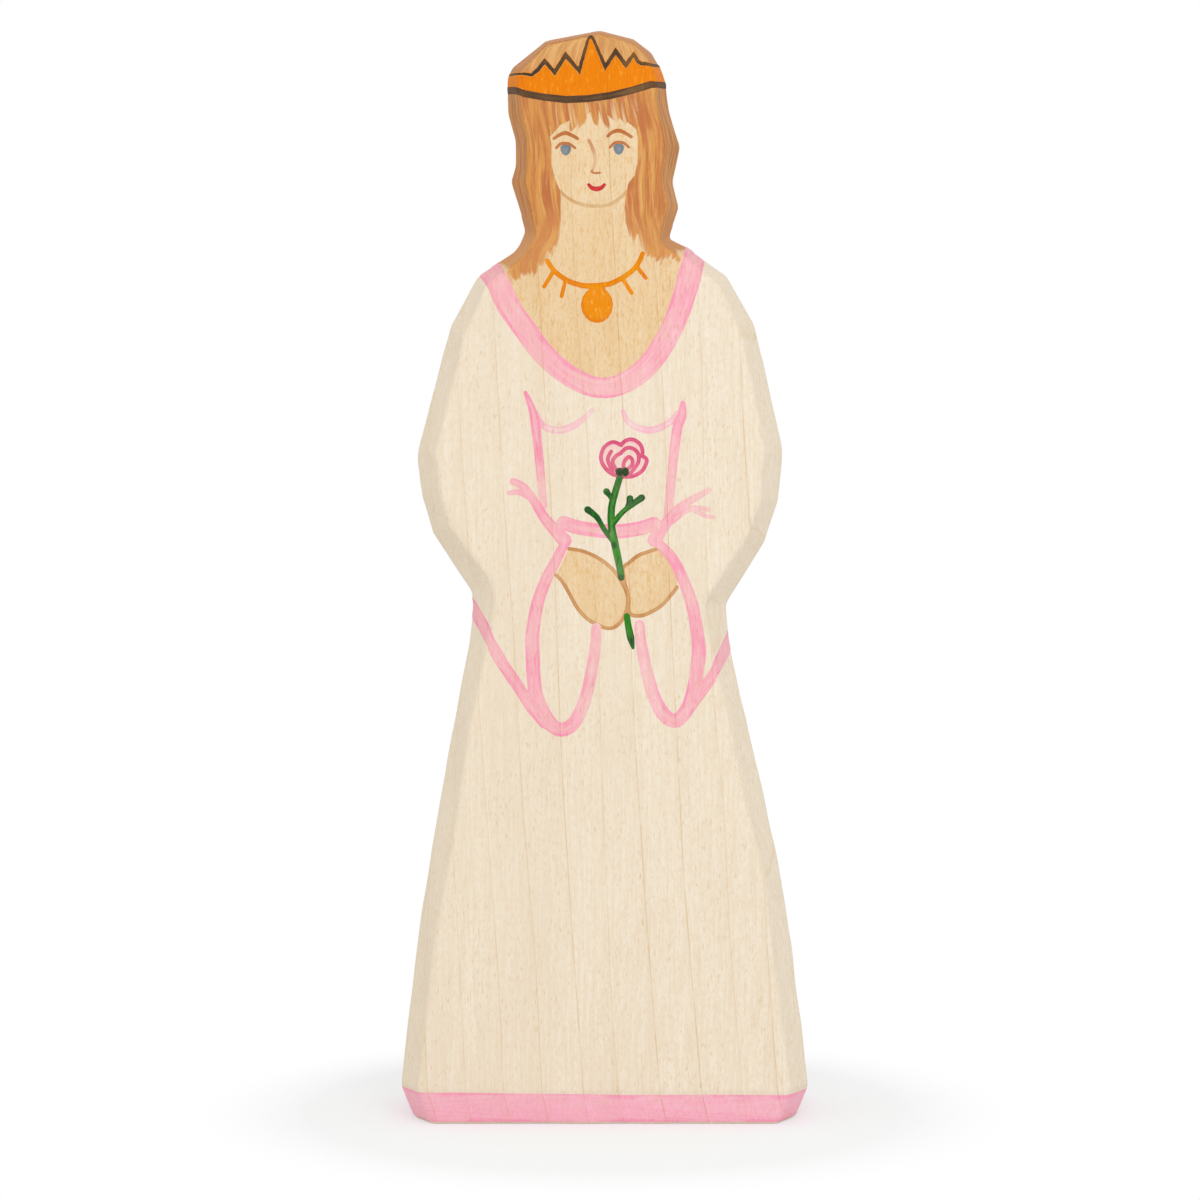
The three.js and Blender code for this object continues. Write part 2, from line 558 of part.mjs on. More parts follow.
function paintRose() {
  const pink = { anchor: WAIST, widths: [0.5, 0.5] };
  const petals = [
    [[1.2, 10.9], [0.1, 11.3], [-1, 10.6], [-1.4, 9.3], [-1, 8.2], [-0.1, 7.3], [1.1, 6.9]],
    [[1.1, 10.9], [1.8, 11.5], [2.7, 11.6], [3.6, 11], [3.9, 10.1], [3.8, 9.5]],
    [[3.8, 9.6], [4.4, 9.1], [4.3, 8.4], [3.7, 7.5], [2.5, 6.9], [1.1, 6.9]],
    [[1.2, 9.9], [0.5, 9.5], [0.1, 8.8], [0.4, 8], [1.1, 6.9]],
    [[-0.1, 10.1], [-0.5, 9.3], [-0.4, 8.6], [0.2, 7.2]],
    [[1.1, 9.9], [1.8, 10.5], [2.6, 10.5], [3.3, 9.9], [3.4, 8.9], [2.9, 8], [2, 6.9]],
    [[1.5, 6.9], [1.5, 8.6], [2.1, 9.4], [2.6, 9], [2.5, 8.3], [1.6, 7.6]],
  ];
  const wash = [
    [1.2, 10.8], [0.1, 11.2], [-0.9, 10.5], [-1.3, 9.3], [-0.9, 8.2], [-0.1, 7.4], [1.1, 7], [2.5, 7],
    [3.6, 7.6], [4.2, 8.4], [4.2, 9.1], [3.7, 9.6], [3.8, 10.1], [3.5, 10.9], [2.7, 11.4], [1.8, 11.3],
  ];
  const green = { anchor: WAIST, widths: [0.85, 0.95, 1, 0.85] };
  const thin = { ...green, widths: [0.75, 0.65, 0.9] };
  const leaves = [
    [[0.1, 4], [-0.7, 5]],
    [[0.3, -1.5], [-1, 0.2], [-1.9, 1.7], [-3.1, 2.7]],
    [[0, 0.7], [1.2, 2.2], [2.4, 3.2], [3.8, 4.2]],
    [[2, 2.9], [2.3, 4.1]],
  ].map((points) => ({ ...thin, points }));
  const stem = [
    [1, 6.8], [0.4, 4.8], [0, 3.2], [-0.1, 1.7], [0, 0.2], [0.3, -1.3], [0.7, -3.2], [1, -4.7], [1.2, -6],
  ];
  const end = [[1.9, -10.9], [2.1, -12.2], [2.4, -13.7], [2.7, -15]];
  const calyx = oval([1, 7.5], 0.55, 0.55, WAIST).add(oval([1.7, 7.5], 0.5, 0.6, WAIST));
  paint('rose_calyx', 3, calyx, INK.darkGreen);
  paint('rose_stem', 3, strokes([{ ...green, points: stem }, ...leaves]), INK.green);
  paint('rose_stem_end', 3, stroke({ ...green, widths: [0.8, 0.85, 0.95, 0.4], points: end }), INK.green);
  paint('rose_wash', 1, patch(wash, WAIST), INK.pink);
  paint('rose_petals', 2, strokes(petals.map((points) => ({ ...pink, points }))), INK.rose);
}

carveWood();
paintHem();
paintSkinGlaze();
paintHair();
paintCrown();
paintFace();
paintNecklace();
paintNeckline();
paintBodice();
paintSash();
paintSleeves();
paintHands();
paintRose();

export default figure;
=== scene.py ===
import bmesh
import bpy
import numpy as np
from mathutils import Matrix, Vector, noise
from mathutils.bvhtree import BVHTree
from mathutils.geometry import intersect_point_line
from mathutils.kdtree import KDTree


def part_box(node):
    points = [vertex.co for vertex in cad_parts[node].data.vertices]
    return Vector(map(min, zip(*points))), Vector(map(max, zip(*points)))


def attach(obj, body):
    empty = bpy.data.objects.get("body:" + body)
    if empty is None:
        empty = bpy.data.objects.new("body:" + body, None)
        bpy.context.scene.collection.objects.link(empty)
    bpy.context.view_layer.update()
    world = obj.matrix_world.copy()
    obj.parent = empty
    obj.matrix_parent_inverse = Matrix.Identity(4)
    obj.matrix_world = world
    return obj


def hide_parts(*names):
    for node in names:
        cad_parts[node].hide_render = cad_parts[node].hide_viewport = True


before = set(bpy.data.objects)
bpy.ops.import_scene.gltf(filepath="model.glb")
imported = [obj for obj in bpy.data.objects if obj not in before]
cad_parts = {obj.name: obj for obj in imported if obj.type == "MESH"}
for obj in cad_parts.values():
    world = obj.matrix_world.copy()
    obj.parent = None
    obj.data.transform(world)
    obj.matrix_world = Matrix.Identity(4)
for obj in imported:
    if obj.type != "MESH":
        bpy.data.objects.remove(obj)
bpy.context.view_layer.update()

# Looks of a sawn, knifed and hand-painted wooden figure. Metres, the face towards -Y.
# The body is the CAD figure with its edges sanded soft. Each coat of paint is laid on that body.

MM = 0.001

# The wood: its mesh, its sanding, the waves of the knife and of the saw, and how a foot's face points
VOXEL = 0.4 * MM
SANDING_ROUNDS = 2
SANDING_SHARE = 0.5
KNIFE_WAVE = 0.1 * MM
KNIFE_WAVE_LENGTH = 5 * MM
BOARD_WAVE = 0.02 * MM
FOOT_FACING = -0.9

# The coats: least height over what lies below, full thickness, depth of the underside in the wood,
# width of the thin rim, how far over the wood other coats are looked for, and how near two rims join
COAT_GAP = 0.006 * MM
COAT_THICKNESS = 0.06 * MM
COAT_ROOT = 0.1 * MM
FEATHER = 0.35 * MM
PROBE = 0.6 * MM
JOIN = 0.02 * MM

# Meshing of the coats: pitches of the outer faces, how many times coarser the hidden ones are, how near
# points are welded, the cosine of faces that count as parallel, how far off a facet of the wood is looked
# for, rounds of splitting edges and of turning them, the angle of a flat edge, and rim segments tried
FINE, LINE, STROKE, BROAD = 0.14 * MM, 0.2 * MM, 0.3 * MM, 0.42 * MM
ROOT_PITCH = 4
WELD = 0.001 * MM
PARALLEL = 0.98
FACET_RANGE = 1.2 * MM
SPLIT_ROUNDS = 8
TURN_ROUNDS = 3
FLAT = 0.01
NEAR_SEGMENTS = 5

# How deep the crown's line is sunk on top of the head, and how far up a face points where that sets in
SLIVER_DEPTH = 0.4 * MM
TOP_FACING = [0.85, 0.95]

# The hair's flow in millimetres: half the head, steps down the outline, half a slice, slices in a mean,
# and how far a face points to the front where the streaks of the sides give way to those of the front
HEAD_HALF_WIDTH = 10
SLICE_STEP = 1.0
SLICE_HALF = 1.5
FLOW_SPAN = 5
FRONT_FACING = [0.5, 0.9]

# Where the hair ends in loose tips, in millimetres from the middle of the nose, and how loose they are
LOCK_HEIGHTS = [-11, -5]
FRINGE_HEIGHTS = [2, 3.5, 5, 7.5]
FRINGE_HALF_WIDTH = 5.5
LOCK_ENDS, FRINGE_ENDS, LEAST_ENDS = 0.3, 0.06, 0.03

# Strokes that thin out: the piece and the axis that the distance is taken from, in millimetres
# off the piece's middle, and the share of paint at each of the distances
THINNING = {
    "waist_sash": ("waist_sash", 0, [5.6, 7.0], [1, 0.5]),
    "left_bow": ("waist_sash", 0, [9, 14], [1, 0.5]),
    "right_bow": ("waist_sash", 0, [8, 13.5], [1, 0.4]),
    "crown_band": ("crown_band", 0, [7, 10.5], [1, 0.88]),
    "left_bodice_seam": ("waist_sash", 2, [2, 9], [0.6, 1]),
    "right_bodice_seam": ("waist_sash", 2, [2, 9], [0.75, 1]),
    "left_sleeve_opening": ("rose_stem_end", 0, [4, 8.5], [0.65, 1]),
    "right_sleeve_opening": ("rose_stem_end", 0, [1, 6], [0.6, 1]),
    "nose_line": ("lips", 2, [2.0, 2.4, 3.9, 4.8], [0.95, 0.3, 0.35, 0.7]),
    "left_cuff_edge": ("waist_sash", 1, [10, 16.5], [1, 0.1]),
    "right_cuff_edge": ("waist_sash", 1, [10, 16.5], [1, 0.1]),
}

# Where the brush was set down on the stem and leaves, in millimetres from the stem's middle, how far
# the darker paint reaches from there, in full and at most, and its share
KNOTS = [
    (-3.35, 2.2), (-2.2, 1.2), (-0.85, 4.5), (3.45, 3.7),
    (1.95, 3.4), (-0.2, -2.2), (0.75, -6.3), (2.2, -14.4),
]
KNOT_CORE, KNOT_REACH = 0.264, 0.672
KNOT_SHARE = 0.85

# How far the edges of some strokes draw in, in millimetres, the least share of that, and the heights
# over the table between which it sets in
HEM_SWAY = 0.6
ZIGZAG_SWAY = 0.16
LEAST_SWAY = 0.4
SWAY_HEIGHTS = 1.5, 3.0

# Heights on the figure in millimetres: the chin, and where the scalp begins over the crown
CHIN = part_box("chin_line")[0].z / MM
SCALP_HEIGHTS = 133.5, 136.5

# Noise in waves per millimetre along X, Y and Z: the wood, the brush, and the hair along its flow
GRAIN_WANDER = (0.06, 0.06, 0.009)
GRAIN_BREAKS = (1.2, 1.2, 0.22)
FIBRES = (3.6, 3.6, 0.16)
TONES = (0.16, 0.16, 0.03)
MOTTLES = (2.6, 2.6, 1.5)
CROWDS = (0.2, 0.2, 0.08)
FLECKS = (5.2, 5.2, 1.0)
GLAZE_PATCHES = (0.5, 0.5, 0.15)
GLAZE_DASHES = (4.4, 4.4, 1.5)
BRUSH_WOBBLE = (2.4, 2.4, 2.4)
BRUSH_SWAY = (0.06, 0.06, 0.06)
BRUSH_SWELLING = (0.25, 0.25, 0.25)
BRUSH_DRIFT = (0.3, 0.3, 0.3)
BRUSH_PATCHES = (0.5, 0.5, 0.35)
BRUSH_FLECKS = (2.6, 2.6, 0.9)
HAIR_BANDS = (0.8, 0.8, 0.09)
HAIR_STREAKS = (2.1, 2.1, 0.13)
SINGLE_HAIRS = (5.5, 5.5, 0.3)
HAIR_LOCKS = (2.4, 2.4, 0.08)
HAIR_TIPS = (6.0, 6.0, 0.14)

# Growth rings per millimetre along each axis, brush lanes per millimetre off a stroke's rim, and the
# change of the wood's dark tone per millimetre to the right, which makes it paler that way
RINGS = (1 / 5.2, -1 / 12, 0.012)
LANES = 4.0
TONE_SLOPE = -0.012

# Roughness of each finish, and how strongly the grain stands out through it
WOOD_FINISH = 0.62, 0.35
GLAZE_FINISH = 0.58, 0.3
PAINT_FINISH = 0.6, 0.25
HAIR_FINISH = 0.5, 0.3
GRAIN_RELIEF = 0.05 * MM
SPECULAR = 0.1

# Tints of the clear glazes, and the powers of a tint where the glaze is even and where it is deep
SKIN_TINT = (0.955, 0.82, 0.62)
HAIR_TINT = (0.78, 0.36, 0.16)
CROWN_TINT = (0.96, 0.42, 0.08)
EVEN_GLAZE, DEEP_GLAZE = 0.8, 1.8

# The camera that took the photograph
EYE = Vector((-0.616, -617.64, 121.11)) * MM
AIM = Vector((-0.616, 0, 67.075)) * MM
LENS = 143.289
SENSOR = 36
CLIP_START = 0.01

# The studio: light from all round, two lamps, and the table with its own share of white
SKY = 0.765
LAMPS_AIM = Vector((0, 0, 0.07))
KEY_LAMP = {"place": (0.15, -0.62, 0.46), "size": 0.55, "power": 1.43}
FILL_LAMP = {"place": (-0.5, -0.5, 0.3), "size": 0.6, "power": 0.36}
TABLE_REACH = 4.0
TABLE_DROP = 0.02 * MM
TABLE_SHADE = 0.56
TABLE_BOUNCE = (0.84, 0.84, 0.84, 1)
TABLE_WHITE = (0.925, 0.955, 0.96, 1)
TABLE_NEAR, TABLE_FAR = 0.025, 0.055


def linear(red, green, blue):
    """A colour as seen on screen, 0 to 255, as the shader's linear red, green, blue, alpha."""
    shares = [c / 255 for c in (red, green, blue)]
    return [((s + 0.055) / 1.055) ** 2.4 if s > 0.04045 else s / 12.92 for s in shares] + [1]


# Colours of the wood
MEAN_WOOD = linear(240, 225, 201)
DARK_FIBRE, PALE_FIBRE = linear(239, 224, 200), linear(246, 234, 215)
MOTTLE = linear(236, 217, 188)
DARK_TONE = linear(234, 216, 190)
LATE_WOOD = linear(228, 206, 170)
GROWTH_LINE = linear(212, 170, 116)
FLECK = linear(214, 176, 122)

# Colours of the hair, with the darker ones of its knifed sides, which are painted shade, and those of the
# scalp and of the tips
REDDISH_BAND, GOLDEN_BAND = linear(194, 108, 54), linear(214, 144, 68)
DARK_STREAK, PALE_STREAK = linear(184, 98, 46), linear(232, 178, 98)
DARK_HAIR, PALE_HAIR = linear(150, 84, 44), linear(240, 194, 122)
DARK_SHADED_SIDE, PALE_SHADED_SIDE = linear(148, 86, 40), linear(204, 138, 70)
DARK_SCALP, PALE_SCALP = linear(206, 146, 80), linear(228, 176, 112)
HAIR_TIP = linear(220, 154, 86)

# Colours of each paint: spread out, and pooled at the sides of a stroke
PINK = linear(248, 179, 188), linear(249, 154, 182)
PALE_PINK = linear(247, 200, 206), linear(249, 180, 200)
HEM_PINK = linear(255, 188, 204), linear(254, 166, 193)
ROSE_WASH = linear(246, 196, 198), linear(246, 186, 192)
ROSE = linear(228, 92, 134), linear(216, 72, 118)
BROWN = linear(200, 120, 60), linear(188, 106, 48)
FAINT_BROWN = linear(212, 170, 114), linear(204, 156, 98)
HAND_BROWN = linear(208, 154, 98), linear(198, 140, 84)
DARK_BROWN = linear(98, 76, 48), linear(76, 58, 42)
RED = linear(212, 30, 52), linear(196, 18, 38)
BLUE = linear(122, 136, 145), linear(108, 125, 140)
ORANGE = linear(237, 131, 0), linear(229, 120, 0)
GOLD = linear(238, 145, 4), linear(228, 128, 0)
PENDANT_GOLD = linear(238, 143, 8), linear(226, 126, 0)
GREEN = linear(52, 136, 34), linear(30, 100, 28)
DARK_GREEN = linear(38, 66, 28), linear(28, 54, 24)

# Colours of the flecks in some paints; the pale flecks on the pendant are painted glints
GOLD_FLECK = linear(246, 158, 42)
PENDANT_GLINT = linear(249, 184, 88)
GREEN_FLECK = linear(22, 76, 32)
DARK_FLECK = linear(74, 60, 54)


def link(name, data):
    piece = bpy.data.objects.new(name, data)
    bpy.context.scene.collection.objects.link(piece)
    return piece


# Shader nodes


def add(tree, kind, inputs=None, **settings):
    """A node with its settings made and its inputs set, or joined where the value is a socket."""
    node = tree.nodes.new(kind)
    for name, value in settings.items():
        setattr(node, name, value)
    for key, value in (inputs or {}).items():
        if isinstance(value, bpy.types.NodeSocket):
            tree.links.new(value, node.inputs[key])
        else:
            node.inputs[key].default_value = value
    return node


def sums(tree, operation, a, b=0.0, c=0.0, clamp=False):
    return add(tree, "ShaderNodeMath", {0: a, 1: b, 2: c}, operation=operation, use_clamp=clamp).outputs[0]


def times(tree, a, b):
    return sums(tree, "MULTIPLY", a, b)


def blend(tree, share, a, b, mode="MIX"):
    inputs = {0: share, 6: a, 7: b}
    return add(tree, "ShaderNodeMix", inputs, data_type="RGBA", blend_type=mode).outputs[2]


def rise(tree, value, start, end, low=0.0, high=1.0):
    """A smooth step from low to high as the value goes from start to end."""
    inputs = {0: value, 1: start, 2: end, 3: low, 4: high}
    return add(tree, "ShaderNodeMapRange", inputs, interpolation_type="SMOOTHSTEP").outputs[0]


def stretched(tree, place, scale):
    return add(tree, "ShaderNodeVectorMath", {0: place, 1: scale}, operation="MULTIPLY").outputs[0]


def clouds(tree, place, scale, detail=2.0, curl=0.0):
    """Noise about 0 to 1, with one scale for each axis in waves per millimetre, curled up if wished."""
    inputs = {"Vector": stretched(tree, place, scale), "Scale": 1.0, "Detail": detail, "Distortion": curl}
    return add(tree, "ShaderNodeTexNoise", inputs).outputs[0]


def millimetres(tree):
    place = add(tree, "ShaderNodeTexCoord").outputs["Object"]
    return stretched(tree, place, (1 / MM, 1 / MM, 1 / MM))


def parts_of(tree, vector):
    return add(tree, "ShaderNodeSeparateXYZ", {0: vector}).outputs


def attribute(tree, name):
    return add(tree, "ShaderNodeAttribute", attribute_name=name).outputs["Fac"]


def plain_rays(tree):
    """One for what the camera, a reflection or a clear body sees, zero for light on its way."""
    path = add(tree, "ShaderNodeLightPath").outputs
    mirrored = sums(tree, "MAXIMUM", path["Is Glossy Ray"], path["Is Transmission Ray"])
    return sums(tree, "MAXIMUM", path["Is Camera Ray"], mirrored)


def turn_to_front(tree):
    """One on the sawn front and back, less on the knifed sides."""
    normal = add(tree, "ShaderNodeNewGeometry").outputs["Normal"]
    return sums(tree, "ABSOLUTE", parts_of(tree, normal)[1])


# Wood


def growth_lines(tree, place):
    """Thin late-wood lines a few millimetres apart, each of its own strength and broken along the way."""
    ring = add(tree, "ShaderNodeVectorMath", {0: place, 1: RINGS}, operation="DOT_PRODUCT").outputs["Value"]
    ring = sums(tree, "ADD", ring, times(tree, clouds(tree, place, GRAIN_WANDER), 1.1))
    phase = sums(tree, "FRACT", ring)
    line = times(tree, rise(tree, phase, 0.955, 0.985), rise(tree, phase, 1.0, 0.99))
    number = sums(tree, "FLOOR", ring)
    strength = add(tree, "ShaderNodeTexWhiteNoise", {"W": number}, noise_dimensions="1D").outputs[0]
    broken = rise(tree, clouds(tree, place, GRAIN_BREAKS), 0.36, 0.56, 0.35, 1.0)
    line = times(tree, times(tree, line, sums(tree, "MULTIPLY_ADD", strength, 0.5, 0.45)), broken)
    line = times(tree, line, rise(tree, turn_to_front(tree), 0.7, 0.97, 0.4, 1.0))
    return line, sums(tree, "POWER", phase, 5)


def timber_group():
    """Pale maple: growth lines, fibres and short dark flecks that run up the board."""
    tree = bpy.data.node_groups.new("timber", "ShaderNodeTree")
    tree.interface.new_socket(name="Color", in_out="OUTPUT", socket_type="NodeSocketColor")
    tree.interface.new_socket(name="Shade", in_out="OUTPUT", socket_type="NodeSocketColor")
    tree.interface.new_socket(name="Height", in_out="OUTPUT", socket_type="NodeSocketFloat")
    place = millimetres(tree)
    line, late = growth_lines(tree, place)
    fibre = clouds(tree, place, FIBRES, 4)
    across = parts_of(tree, place)[0]
    tone = sums(tree, "MULTIPLY_ADD", across, TONE_SLOPE, clouds(tree, place, TONES))
    mottle = clouds(tree, place, MOTTLES, 3, 0.6)
    crowd = rise(tree, clouds(tree, place, CROWDS), 0.35, 0.65, 0.4, 1.0)
    fleck = times(tree, rise(tree, clouds(tree, place, FLECKS, 1, 0.3), 0.6, 0.72), crowd)
    colour = blend(tree, rise(tree, fibre, 0.3, 0.7), DARK_FIBRE, PALE_FIBRE)
    colour = blend(tree, rise(tree, mottle, 0.42, 0.66, 0.0, 0.5), colour, MOTTLE)
    colour = blend(tree, rise(tree, tone, 0.3, 0.75, 0.0, 0.35), colour, DARK_TONE)
    colour = blend(tree, times(tree, late, 0.16), colour, LATE_WOOD)
    colour = blend(tree, times(tree, line, 0.56), colour, GROWTH_LINE)
    colour = blend(tree, times(tree, fleck, 0.4), colour, FLECK)
    height = sums(tree, "SUBTRACT", fibre, times(tree, sums(tree, "ADD", fleck, line), 0.4))
    lift = [1 / c for c in MEAN_WOOD]
    shade = blend(tree, 1.0, colour, lift, "MULTIPLY")
    out = add(tree, "NodeGroupOutput")
    tree.links.new(colour, out.inputs["Color"])
    tree.links.new(shade, out.inputs["Shade"])
    tree.links.new(height, out.inputs["Height"])
    return tree


TIMBER = timber_group()


def new_material(name):
    material = bpy.data.materials.new(name)
    material.use_nodes = True
    material.node_tree.nodes.clear()
    return material, material.node_tree


def timber(tree):
    return add(tree, "ShaderNodeGroup", node_tree=TIMBER).outputs


def surface(tree, colour, height, finish):
    """The finished surface: a colour, a roughness and the grain standing in fine relief."""
    roughness, bump = finish
    inputs = {"Height": height, "Strength": bump, "Distance": GRAIN_RELIEF}
    relief = add(tree, "ShaderNodeBump", inputs).outputs[0]
    shader = add(tree, "ShaderNodeBsdfPrincipled", {"Base Color": colour, "Normal": relief})
    shader.inputs["Roughness"].default_value = roughness
    shader.inputs["Specular IOR Level"].default_value = SPECULAR
    out = add(tree, "ShaderNodeOutputMaterial")
    tree.links.new(shader.outputs[0], out.inputs["Surface"])


def wood_material():
    material, tree = new_material("bare_wood")
    grain = timber(tree)
    surface(tree, grain["Color"], grain["Height"], WOOD_FINISH)
    return material


# Paints


def tinted(tree, colour, tint):
    """A clear glaze: the colour below shows through it, tinted."""
    return blend(tree, 1.0, colour, [*tint, 1], "MULTIPLY")


def glaze_material(name, tint):
    """A thin clear glaze that tints the wood, a little stronger at its edge, in dashes and below the chin."""
    material, tree = new_material(name)
    grain = timber(tree)
    rim = attribute(tree, "rim")
    place = millimetres(tree)
    patchy = clouds(tree, place, GLAZE_PATCHES, 3)
    dashes = rise(tree, clouds(tree, place, GLAZE_DASHES, 1, 0.8), 0.53, 0.66)
    deep = tinted(tree, grain["Color"], [t**DEEP_GLAZE for t in tint])
    even = tinted(tree, grain["Color"], [t**EVEN_GLAZE for t in tint])
    below_chin = rise(tree, parts_of(tree, place)[2], CHIN + 1, CHIN - 1, 0.0, 0.2)
    share = sums(tree, "ADD", rise(tree, rim, 0.35, 0.05, 0.0, 0.25), rise(tree, patchy, 0.4, 0.8, 0.0, 0.25))
    share = sums(tree, "ADD", share, below_chin)
    share = sums(tree, "ADD", share, times(tree, dashes, 0.7), clamp=True)
    surface(tree, blend(tree, share, even, deep), grain["Height"], GLAZE_FINISH)
    return material


def brush_streaks(tree, place, rim):
    """Noise about zero in lanes that follow the sides of a stroke."""
    lane = add(tree, "ShaderNodeCombineXYZ", {0: times(tree, rim, LANES)}).outputs[0]
    drift = stretched(tree, place, BRUSH_DRIFT)
    along = add(tree, "ShaderNodeVectorMath", {0: lane, 1: drift}, operation="ADD").outputs[0]
    inputs = {"Vector": along, "Scale": 1.0, "Detail": 3.0}
    streak = sums(tree, "SUBTRACT", add(tree, "ShaderNodeTexNoise", inputs).outputs[0], 0.5)
    return times(tree, streak, 1.7)


def ragged_edge(tree, place, rim, ragged, sway):
    """The distance from a stroke's rim, uneven by the ragged share and drawn in by up to the sway."""
    wobble = sums(tree, "SUBTRACT", clouds(tree, place, BRUSH_WOBBLE, 3), 0.5)
    edge = sums(tree, "ADD", rim, times(tree, wobble, 2 * ragged))
    if not sway:
        return edge
    drawn_in = rise(tree, clouds(tree, place, BRUSH_SWAY), 0.3, 0.7, LEAST_SWAY * sway, sway)
    off_table = rise(tree, parts_of(tree, place)[2], *SWAY_HEIGHTS)
    return sums(tree, "SUBTRACT", edge, times(tree, drawn_in, off_table))


def pooled_share(tree, place, edge):
    """How much paint pooled along the sides of a stroke, now in a broad line and now in a narrow one."""
    swelling = clouds(tree, place, BRUSH_SWELLING)
    reach = rise(tree, swelling, 0.36, 0.64, 0.15, 1.0)
    return times(tree, rise(tree, edge, reach, 0.02), rise(tree, swelling, 0.3, 0.55, 0.35, 1.0))


def brush_material(name, colours, cover=0.85, ragged=0.06, streaky=0.2, below=None, spots=None, sway=0):
    """A brushed coat: ragged at its edge, streaked along the stroke and pooled darker at its sides.

    The cover is the share of pigment over the wood, or over a glaze given as the tint below. Spots are
    flecks of another colour, and knots where the brush was set down; on the pendant the pale spots are
    painted glints. The edge draws in by up to the sway.
    """
    material, tree = new_material(name)
    grain = timber(tree)
    under = tinted(tree, grain["Color"], below) if below else grain["Color"]
    place = millimetres(tree)
    rim = attribute(tree, "rim")
    edge = ragged_edge(tree, place, rim, ragged, sway)
    mask = rise(tree, edge, -0.06, 0.02)
    streak = brush_streaks(tree, place, rim)
    pool = pooled_share(tree, place, edge)
    depth = sums(tree, "ADD", pool, times(tree, streak, 3 * streaky), clamp=True)
    colour = blend(tree, depth, *colours)
    if spots:
        fleck = rise(tree, clouds(tree, place, BRUSH_FLECKS, 2, 0.4), 0.57, 0.7, 0.0, 0.8)
        colour = blend(tree, sums(tree, "MAXIMUM", fleck, attribute(tree, "knot")), colour, spots)
    veil = blend(tree, 1.0, colour, grain["Shade"], "MULTIPLY")
    patchy = sums(tree, "SUBTRACT", clouds(tree, place, BRUSH_PATCHES), 0.5)
    body = sums(tree, "ADD", cover, times(tree, sums(tree, "ADD", streak, patchy), streaky))
    body = sums(tree, "ADD", body, times(tree, pool, 0.5 * (1 - cover)))
    share = sums(tree, "MULTIPLY", times(tree, body, mask), attribute(tree, "fade"), clamp=True)
    surface(tree, blend(tree, share, under, veil), grain["Height"], PAINT_FINISH)
    return material


def hair_colour(tree, grain, place, flow):
    """Golden brown with reddish bands and pale and dark streaks, made darker on the knifed sides by painted
    shade.
    """
    bands = clouds(tree, flow, HAIR_BANDS, 2, 0.5)
    streaks = clouds(tree, flow, HAIR_STREAKS, 3, 0.5)
    hairs = clouds(tree, flow, SINGLE_HAIRS, 3)
    colour = blend(tree, rise(tree, bands, 0.4, 0.58), REDDISH_BAND, GOLDEN_BAND)
    colour = blend(tree, rise(tree, streaks, 0.53, 0.66, 0.0, 0.6), colour, PALE_STREAK)
    colour = blend(tree, rise(tree, streaks, 0.45, 0.34, 0.0, 0.75), colour, DARK_STREAK)
    colour = blend(tree, rise(tree, hairs, 0.42, 0.3, 0.0, 0.55), colour, DARK_HAIR)
    colour = blend(tree, rise(tree, hairs, 0.6, 0.7, 0.0, 0.4), colour, PALE_HAIR)
    # Painted shade: faces turned away from the front take darker colours
    side = blend(tree, rise(tree, streaks, 0.35, 0.6), DARK_SHADED_SIDE, PALE_SHADED_SIDE)
    colour = blend(tree, rise(tree, turn_to_front(tree), 0.96, 0.8, 0.0, 0.6), colour, side)
    golden = blend(tree, rise(tree, streaks, 0.4, 0.6), DARK_SCALP, PALE_SCALP)
    scalp = rise(tree, parts_of(tree, place)[2], *SCALP_HEIGHTS, 0.0, 0.85)
    scalp = times(tree, scalp, rise(tree, turn_to_front(tree), 0.6, 0.85))
    colour = blend(tree, scalp, colour, golden)
    colour = blend(tree, times(tree, attribute(tree, "ends"), 1.5), colour, HAIR_TIP)
    return blend(tree, 0.5, colour, grain["Shade"], "MULTIPLY")


def hair_material():
    """Brown glaze drawn down in streaks that part into single brush hairs at the ends."""
    material, tree = new_material("hair_strokes")
    grain = timber(tree)
    place = millimetres(tree)
    flow = add(tree, "ShaderNodeAttribute", attribute_name="flow").outputs["Vector"]
    ends = attribute(tree, "ends")
    locks = clouds(tree, flow, HAIR_LOCKS, 2)
    hairs = clouds(tree, flow, HAIR_TIPS, 2)
    tips = sums(tree, "SUBTRACT", sums(tree, "ADD", locks, hairs), 1.0)
    edge = sums(tree, "ADD", attribute(tree, "rim"), times(tree, tips, times(tree, ends, 4.5)))
    mask = rise(tree, edge, -0.1, sums(tree, "MULTIPLY_ADD", ends, 1.6, 0.02))
    gaps = times(tree, rise(tree, locks, 0.52, 0.64), attribute(tree, "fringe"))
    bare = tinted(tree, grain["Color"], SKIN_TINT)
    share = times(tree, times(tree, mask, 0.92), sums(tree, "SUBTRACT", 1.0, times(tree, gaps, 0.75)))
    colour = blend(tree, share, bare, hair_colour(tree, grain, place, flow))
    surface(tree, colour, grain["Height"], HAIR_FINISH)
    return material


# The carved body


def welded(mesh):
    shape = bmesh.new()
    shape.from_mesh(mesh)
    bmesh.ops.remove_doubles(shape, verts=shape.verts, dist=WELD)
    return shape


def sanded_mesh(source):
    """The CAD figure as a close mesh with its edges sanded soft."""
    mesh = bpy.data.meshes.new("rough")
    shape = welded(source.data)
    shape.to_mesh(mesh)
    shape.free()
    rough = link("rough", mesh)
    close = rough.modifiers.new("close", "REMESH")
    close.mode = "VOXEL"
    close.voxel_size = VOXEL
    sand = rough.modifiers.new("sand", "SMOOTH")
    sand.factor = SANDING_SHARE
    sand.iterations = SANDING_ROUNDS
    result = bpy.data.meshes.new_from_object(rough.evaluated_get(bpy.context.evaluated_depsgraph_get()))
    bpy.data.objects.remove(rough)
    return result


